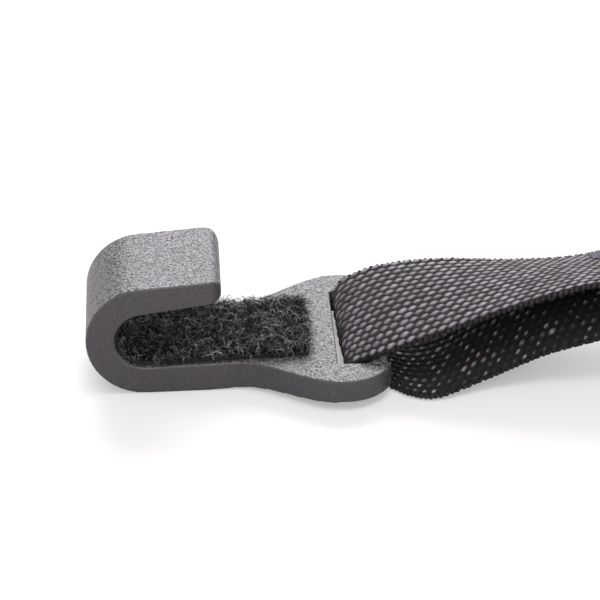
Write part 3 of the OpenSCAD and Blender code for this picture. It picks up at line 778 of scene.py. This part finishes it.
def loop_edges():
    """Near edge, middle and far edge of the loop, from the seam along the top leg, round the bar and back.

    Millimetres from the hook's left end. The stations and heights are given."""
    top = hi["hook_loop"][2] - 0.65
    low = top - 1.35
    near = [(130, -12.7, top), (118, -12.7, top), (108, -12.7, top), (98, -12.5, top + 1.2),
            (88, -12.3, 18.5), (76, -12.5, 15.5), (64, -12.8, 11.5), (54, -12.9, 8),
            (49, -12.9, 6.3), (46, -12.8, 5), (45.6, -12.7, 3), (47, -12.6, 1.2), (52, -12.8, 0.8),
            (56, -16.4, 0.8), (61, -17.5, 0.9), (70, -14.5, 2.6), (80, -12.9, 5.8),
            (90, -12.8, 8.4), (98, -12.7, 11.6), (106, -12.7, 14.6), (112, -12.7, low), (130, -12.7, low)]
    mid = [(130, 0, top), (118, 0, top), (108, 0, top), (98, 0, top - 0.4),
           (88, 0, 15.5), (76, 0, 14), (64, 0, 12.2), (54, 0, 10.3),
           (48.5, 0, 8.2), (45.2, 0, 6), (44.8, 0, 3.2), (47, 0, 1.3), (51.5, -0.2, 0.9),
           (56.5, -3.4, 1.3), (62, -4, 2.6), (70, -1.7, 5.6), (80, -0.2, 9.1),
           (90, 0, 11.4), (98, 0, 13), (106, 0, 14.6), (112, 0, low), (130, 0, low)]
    far = [(130, 12.7, top), (118, 12.7, top), (108, 12.7, top), (98, 12.5, top - 3.2),
           (88, 12.4, 11), (76, 12.5, 10.7), (64, 12.7, 11.4), (54, 12.7, 10.9),
           (48, 12.7, 9.2), (44.8, 12.7, 6.8), (44.4, 12.7, 3.6), (46.5, 12.6, 1.5), (51, 12.3, 1),
           (56, 9.9, 1.2), (62, 9, 3), (70, 11.2, 5.9), (80, 12.4, 8.3),
           (90, 12.5, 10.2), (98, 12.6, 12.4), (106, 12.7, 14.5), (112, 12.7, low), (130, 12.7, low)]
    return near, mid, far


def loop_surface():
    x1 = hi["hook_loop"][0] - HX
    curves = []
    for pts in loop_edges():
        pts = [(HX + min(x, x1), y, z) for x, y, z in pts]
        curves.append(smooth_curve(pts))
    near, mid, far = curves
    s = np.r_[0, np.cumsum(np.linalg.norm(np.diff(mid, axis=0), axis=1))]
    keep = np.r_[True, np.diff(s) > 1e-6]
    s, near, mid, far = s[keep], near[keep], mid[keep], far[keep]
    S = np.linspace(0, s[-1], int(s[-1] / 0.7) + 1)
    near, mid, far = (np.stack([np.interp(S, s, c[:, k]) for k in range(3)], 1) for c in (near, mid, far))
    near, mid, far = (soften(c, 2) for c in (near, mid, far))
    w = np.linspace(-1, 1, STRAP_POINTS)[None, :, None]
    grid = near[:, None] * (w * (w - 1) / 2) + mid[:, None] * (1 - w * w) + far[:, None] * (w * (w + 1) / 2)
    return grid, S


LOWER_LEG = 0.48667           # how far along the loop the painted shadow on its lower leg begins, as a part of its length
loop_grid, loop_s = loop_surface()
woven_tape("hook_loop_tape", loop_grid, loop_s, STRAP_W, STRAP_T, TAPE, ROOT,
           ("hook_loop",), STRAP_RIB, STRAP_PICK, seed=3, shaded_from=loop_s[-1] * LOWER_LEG)


def bar_tack():
    """A small dense tack on the upper leg of the loop."""
    leg = int(len(loop_s) * 0.45)
    out = frames(loop_grid)[2]
    rows = [int(np.argmin(np.abs(loop_grid[:leg, MIDDLE, 0] - (HX + x)))) for x in np.linspace(90.0, 94.0, 8)]
    lines = []
    for k, i in enumerate(rows):
        for j in range(20, 29):
            n = out[i, j] * (1 if out[i, j][2] > 0 else -1)
            a = loop_grid[i, j] + n * 0.62
            b = loop_grid[rows[min(k + 1, 7)] if j % 2 else i, j + 1] + n * 0.62
            lines.append((a, b, n, 0.26))
    stitching("hook_loop_tack", [], TACK, ROOT, extra=lines)


bar_tack()


# ---------------------------------------------------------------- limb band, folded into a hank
HANK_X0, HANK_X1, LAYERS, PITCH, LAYER_Z = -236.0, -152.0, 7, 1.95, 1.9
SEAM_X0, SEAM_X1 = -272.8, -250.8
TURN_X = -136.0
LOAD_Z, TAIL_LOW_Z = 1.2, 3.1
TAIL_Z, TAIL_UP, TAIL_END = 15.5, 1.0, -247.0


def limb_band():
    path = [(SEAM_X0, LAYER_Z + PITCH * (LAYERS - 1), 0)]
    for k in range(LAYERS - 1, 0, -1):
        x = HANK_X1 if (LAYERS - 1 - k) % 2 == 0 else HANK_X0
        path += [(x, LAYER_Z + PITCH * k, PITCH / 2), (x, LAYER_Z + PITCH * (k - 1), PITCH / 2)]
    path += [(HANK_X1 + 4, LAYER_Z, 20), (HANK_X1 + 12, LOAD_Z, 20), (TURN_X, LOAD_Z, 0)]
    grid, s = strip(rounded(path), BAND_W - 0.8, 3.0, BAND_POINTS, 0.28, 1.0)
    run, arc, lead = HANK_X1 - HANK_X0, math.pi * PITCH / 2, HANK_X1 - SEAM_X0
    bends = [lead + arc / 2 + n * (run + arc) for n in range(LAYERS - 1)]
    faces = [(1, (0, 30)), (-1, (0, 40))]
    faces += [(1 if n % 2 == 0 else -1, (v - 4, v + 4)) for n, v in enumerate(bends)]
    faces += [(-1, (bends[-1] + 4, s[-1])), (1, (s[-1] - 22, s[-1]))]
    woven_tape("limb_band_tape", grid, s, BAND_W - 0.8, BAND_T - 0.05, BAND, ROOT,
               ("limb_band",), BAND_RIB, BAND_PICK, faces, seed=5)


def adjuster_turn():
    grip = -96.0
    path = [(TURN_X, LOAD_Z, 0), (grip - 7.8, LOAD_Z, 2.7), (grip - 7.8, 6.6, 2.7), (grip - 17, 6.6, 5),
            (grip - 26, TAIL_LOW_Z, 5), (TURN_X, TAIL_LOW_Z, 0)]
    grid, s = strip(rounded(path), BAND_W - 0.8, 1.2, BAND_POINTS)
    ob = woven_tape("limb_band_turn_tape", grid, s, BAND_W - 0.8, BAND_T - 0.05, BAND, None,
                    ("limb_band_adjuster_turn",), BAND_RIB, BAND_PICK, seed=6)
    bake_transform(ob)


def tail_strap():
    keeper = -208.0 - 7.0
    path = [(TURN_X, TAIL_LOW_Z, 0), (TURN_X - 2, TAIL_LOW_Z, 4), (HANK_X1 + 4, TAIL_Z, 4),
            (keeper - 4, TAIL_Z, 6), (keeper - 9, TAIL_Z + TAIL_UP, 6), (TAIL_END, TAIL_Z + TAIL_UP, 0)]
    grid, s = strip(rounded(path), BAND_W - 0.8, 2.0, BAND_POINTS, 0.2, 2.0)
    woven_tape("tail_tape", grid, s, BAND_W - 0.8, BAND_T - 0.05, BAND, ROOT, ("tail_strap",),
               BAND_RIB, BAND_PICK, [(-1, None), (1, (0, 24))], seed=7)


def sheet(name, grid, s, width, off, material, body, stands_for):
    v, f, uv = skin(grid, s, width, off)
    ob = make(name, v * MM, f, material, body, stands_for)
    set_uv(ob, uv)
    return ob


def tail_tab():
    z, h, length = TAIL_Z + TAIL_UP, 1.3, 20.0
    fold = TAIL_END - 0.8
    path = [(TAIL_END + length, z + h, 0), (fold, z + h, 0.8), (fold, z - h, 0.8),
            (TAIL_END + length - 7, z - h, 0)]
    grid, s = strip(rounded(path), BAND_W, 0.2, 61)
    ribs = 0.36 + 0.05 * np.sin(2 * math.pi * s / 0.95)[:, None]
    sheet("tail_tab_tape", grid, s, BAND_W, ribs, TAB, ROOT, ("tail_tab",))


def time_label():
    x0, x1, z = -196.0, -174.0, TAIL_Z + BAND_T / 2
    grid, s = strip([(x0, z + 0.2), (x1, z + 0.2)], 30.0, 0.35, 87)
    U = grid[..., 1] / 15.0
    X = (grid[..., 0] - (x0 + x1) / 2) / 11.0
    hem = np.maximum(np.abs(X) * 11 - 9.1, np.abs(U) * 15 - 13.1)
    off = 0.15 + 0.07 * (1 / (1 + np.exp(-hem * 5)))
    pucker = 0.035 * np.sin(grid[..., 1] * 2.3) * np.exp(-((np.abs(X) * 11 - 9.6) / 0.9) ** 2)
    pucker += 0.035 * np.sin(grid[..., 0] * 2.3) * np.exp(-((np.abs(U) * 15 - 13.6) / 0.9) ** 2)
    grid[..., 2] += pucker
    sheet("time_label_cloth", grid, s, 30.0, off, LABEL, ROOT, ("time_label",))
    z += 0.42
    stitching("time_label_thread", box_lines(x0 + 1.2, x1 - 1.2, 27.4, z, cross=False), THREAD, ROOT,
              ("time_label_stitching",), r=0.16, length=1.7, gap=0.4)


def keeper(node, body):
    half, low, top = 19.8, 0.45, 16.95
    path = rounded([(0, low, 0), (half, low, 0.8), (half, top, 0.8), (-half, top, 0.8), (-half, low, 0.8),
                    (0, low, 0)])
    p = densify(path, 1.5)
    s = np.r_[0, np.cumsum(np.linalg.norm(np.diff(p, axis=0), axis=1))]
    u = np.linspace(-6.9, 6.9, 29)
    x = (lo[node][0] + hi[node][0]) / 2
    grid = np.empty((len(p), len(u), 3))
    grid[..., 0] = x + u[None, :]
    grid[..., 1] = p[:, None, 0]
    grid[..., 2] = p[:, None, 1]
    seeded = np.random.default_rng(11)
    v, f, uv = skin(grid, s, 13.8, 0.31, closed=True)
    out = frames(grid)[2]
    side = 1 if out[2, 14, 2] < 0 else -1
    parts = [(v, f, uv, np.full(len(v), 0.25)),
             floats(grid, s, 13.8, 1.06, 1.25, 0.33, 0.16, side, (s[0], s[-1]), seeded, slant=0.0)]
    V, F, T, C = join_parts(parts)
    ob = make(node + "_elastic", V * MM, F, ELASTIC, body, (node,))
    set_uv(ob, T)
    set_shade(ob, C)


limb_band()
adjuster_turn()
tail_strap()
tail_tab()
time_label()
keeper("keeper_hook_side", "keeper_1")
keeper("keeper_adjuster_side", "keeper_2")


# ---------------------------------------------------------------- tension strap
CROWN_END = 35.05             # from the windlass axis to where the crown meets the strap's two ends
STRAP_Z = 3.75                # the strap's middle, where it lies on the plate


def end_loop(node, sign, x, z, r, seed):
    low_z = 2.4
    path = [(CROWN_END, STRAP_Z, 0), (x - 20, STRAP_Z, 15), (x - 6, z + r, 12), (x + r, z + r, r),
            (x + r, z - r, r), (x - 7, z - r, 10), (x - 17, low_z, 10), (57, low_z, 0)]
    path = [(sign * a, b, c) for a, b, c in path]
    grid, s = strip(rounded(path), STRAP_W, 1.2, STRAP_POINTS)
    woven_tape(node + "_tape", grid, s, STRAP_W, STRAP_T, TAPE, ROOT, (node,),
               STRAP_RIB, STRAP_PICK, seed=seed)


def crown():
    """The strap's middle: it rises from the plate, turns a quarter round the axis and enters the rod."""
    start, rise, bend, top = CROWN_END, 6.95, 1.4, 8.4
    rod_z = lo["windlass_rod"][2] / 2 + hi["windlass_rod"][2] / 2
    swirl = start * 0.66

    def ease(t):
        t = min(1.0, max(0.0, t))
        return t * t * (3 - 2 * t)

    leg = []
    for t in np.linspace(0, 1, 34):
        r = start + (rise + bend - start) * t
        leg.append((r, STRAP_Z + (top - STRAP_Z) * ease(t), 90 * ease((swirl - r) / (swirl - rise - bend))))
    for a in np.radians(np.arange(15, 91, 15)):
        leg.append((rise + bend * (1 - math.sin(a)), top + bend * (1 - math.cos(a)), 90))
    for a in np.radians(np.arange(0, 91, 15)):
        leg.append((rise - bend * (1 - math.cos(a)), rod_z - bend * (1 - math.sin(a)), 90))
    full = leg + [(-r, z, turn) for r, z, turn in leg[::-1]]
    u = np.linspace(-STRAP_W / 2, STRAP_W / 2, STRAP_POINTS)
    rows = []
    for r, z, turn in full:
        c, k = math.cos(math.radians(turn)), math.sin(math.radians(turn))
        rows.append(np.stack([-r * c - u * k, -r * k + u * c, np.full(len(u), z)], 1))
    grid = np.array(rows)
    keep = np.r_[True, np.linalg.norm(np.diff(grid[:, MIDDLE], axis=0), axis=1) > 1e-4]
    grid = grid[keep]
    s = np.r_[0, np.cumsum(np.linalg.norm(np.diff(grid[:, MIDDLE], axis=0), axis=1))]
    ob = woven_tape("tension_strap_crown_tape", grid, s, STRAP_W, STRAP_T, TAPE, None,
                    ("tension_strap_crown",), STRAP_RIB, STRAP_PICK, seed=10)
    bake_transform(ob)


end_loop("tension_strap_adjuster_side", -1, 96.0, 3.75, 2.95, 8)
end_loop("tension_strap_ring_side", 1, 96.0, 4.15, 3.25, 9)
crown()


# ---------------------------------------------------------------- stitching
def sewn(node, x0, x1, w, top, low=None):
    lines = box_lines(x0, x1, w, top)
    if low is not None:
        lines += box_lines(x0, x1, w, low, (0, 0, -1))
    stitching(node.replace("stitching", "thread"), lines, THREAD, ROOT, (node,))


sewn("hook_loop_stitching", SEAM_X0 + 2, SEAM_X1 - 2, 19.4, 17.22, 12.68)
sewn("tail_tab_stitching", TAIL_END + 3, TAIL_END + 17, 30.0, 18.22)
sewn("adjuster_strap_stitching", -72.0, -59.0, 19.4, 4.42, 1.73)
sewn("ring_strap_stitching", 59.0, 72.0, 19.4, 4.42, 1.73)

# ---------------------------------------------------------------- hard parts
cleaned_copy("adjuster", PLASTIC, "adjuster_buckle", 0.26, 3, "adjuster_moulding")
cleaned_copy("base_plate", PLASTIC, ROOT, 0.34, 3, "base_plate_moulding")
for side, body in (("adjuster_side", "ring_adjuster_side"), ("catch_side", "ring_catch_side")):
    cleaned_copy("lock_ring_" + side, STEEL, body, 0.17, 3)
    cleaned_copy("ring_clamp_" + side, STEEL, ROOT, 0.17, 3)
LOOK = {"windlass_rod": ROD, "catch_ring": STEEL, "clamp_rivets": RIVET}
for node, material in LOOK.items():
    eased(node, material, 0.2)


# ---------------------------------------------------------------- floor, light and camera
def floor():
    me = bpy.data.meshes.new("floor")
    me.from_pydata([(-3, -3, 0), (3, -3, 0), (3, 3, 0), (-3, 3, 0)], [], [(0, 1, 2, 3)])
    ob = bpy.data.objects.new("floor", me)
    bpy.context.scene.collection.objects.link(ob)
    n = Nodes("floor_paper")
    n.shine(Base_Color=(0.67, 0.652, 0.642, 1))
    # only camera rays see this glow: it makes the ground white and puts no light on the object
    seen = n.node("ShaderNodeLightPath").outputs["Is Camera Ray"]
    n.put(n.bsdf.inputs["Emission Color"], (1, 1, 1, 1))
    n.put(n.bsdf.inputs["Emission Strength"], n.math("MULTIPLY", seen, 0.365))
    n.bsdf.inputs["Roughness"].default_value = 0.55
    n.bsdf.inputs["Specular IOR Level"].default_value = 0.3
    me.materials.append(n.m)


def lamp(name, where, at, size, power, colour=(1, 1, 1)):
    data = bpy.data.lights.new(name, "AREA")
    data.shape = "RECTANGLE"
    data.size, data.size_y = size
    data.energy = power
    data.color = colour
    ob = bpy.data.objects.new(name, data)
    bpy.context.scene.collection.objects.link(ob)
    ob.location = where
    ob.rotation_euler = (Vector(at) - Vector(where)).to_track_quat("-Z", "Y").to_euler()


floor()
focus = Vector((HX * MM + 0.045, 0, 0.01))
lamp("softbox_back", focus + Vector((0.1, 1.0, 0.66)), focus, (1.0, 0.65), 12.5, (0.985, 0.975, 1.0))
lamp("softbox_left", focus + Vector((-1.1, 0.25, 0.30)), focus, (0.6, 0.5), 3.2, (1.0, 0.97, 0.95))
lamp("softbox_top", focus + Vector((0.15, -0.15, 1.15)), focus, (0.8, 0.6), 5.0)
lamp("softbox_front", focus + Vector((0.2, -1.1, 0.9)), focus, (1.2, 0.8), 3.9, (1.0, 0.93, 0.90))

world = bpy.data.worlds.new("studio")
bpy.context.scene.world = world
world.use_nodes = True
wt = world.node_tree
bg = wt.nodes["Background"]
bg.inputs[0].default_value = (0.96, 0.97, 1.0, 1)
bg.inputs[1].default_value = 0.34
white = wt.nodes.new("ShaderNodeBackground")
white.inputs[0].default_value = (1, 1, 1, 1)
white.inputs[1].default_value = 1.0
path = wt.nodes.new("ShaderNodeLightPath")
mixer = wt.nodes.new("ShaderNodeMixShader")
seen = wt.nodes.new("ShaderNodeMath")
seen.operation = "MAXIMUM"
wt.links.new(path.outputs["Is Camera Ray"], seen.inputs[0])
wt.links.new(path.outputs["Is Glossy Ray"], seen.inputs[1])
wt.links.new(seen.outputs[0], mixer.inputs[0])
wt.links.new(bg.outputs[0], mixer.inputs[1])
wt.links.new(white.outputs[0], mixer.inputs[2])
wt.links.new(mixer.outputs[0], wt.nodes["World Output"].inputs["Surface"])

cam_data = bpy.data.cameras.new("camera")
cam = bpy.data.objects.new("camera", cam_data)
bpy.context.scene.collection.objects.link(cam)
cam_data.sensor_width = 36
cam_data.lens = 192.3
cam_data.clip_end = 20
pitch, yaw, roll = math.radians(28.65), math.radians(2.22), math.radians(-1.29)
right = Vector((math.cos(yaw), -math.sin(yaw), 0))
ahead = Vector((math.sin(yaw) * math.cos(pitch), math.cos(yaw) * math.cos(pitch), -math.sin(pitch)))
up = Vector((math.sin(yaw) * math.sin(pitch), math.cos(yaw) * math.sin(pitch), math.cos(pitch)))
cx = right * math.cos(roll) + up * math.sin(roll)
cy = up * math.cos(roll) - right * math.sin(roll)
place = Matrix((cx, cy, -ahead)).transposed().to_4x4()
place.translation = Vector(((HX + 18.5) * MM, -494.4 * MM, 281.7 * MM))
cam.matrix_world = place
bpy.context.scene.camera = cam
bpy.context.scene.view_settings.view_transform = "Standard"
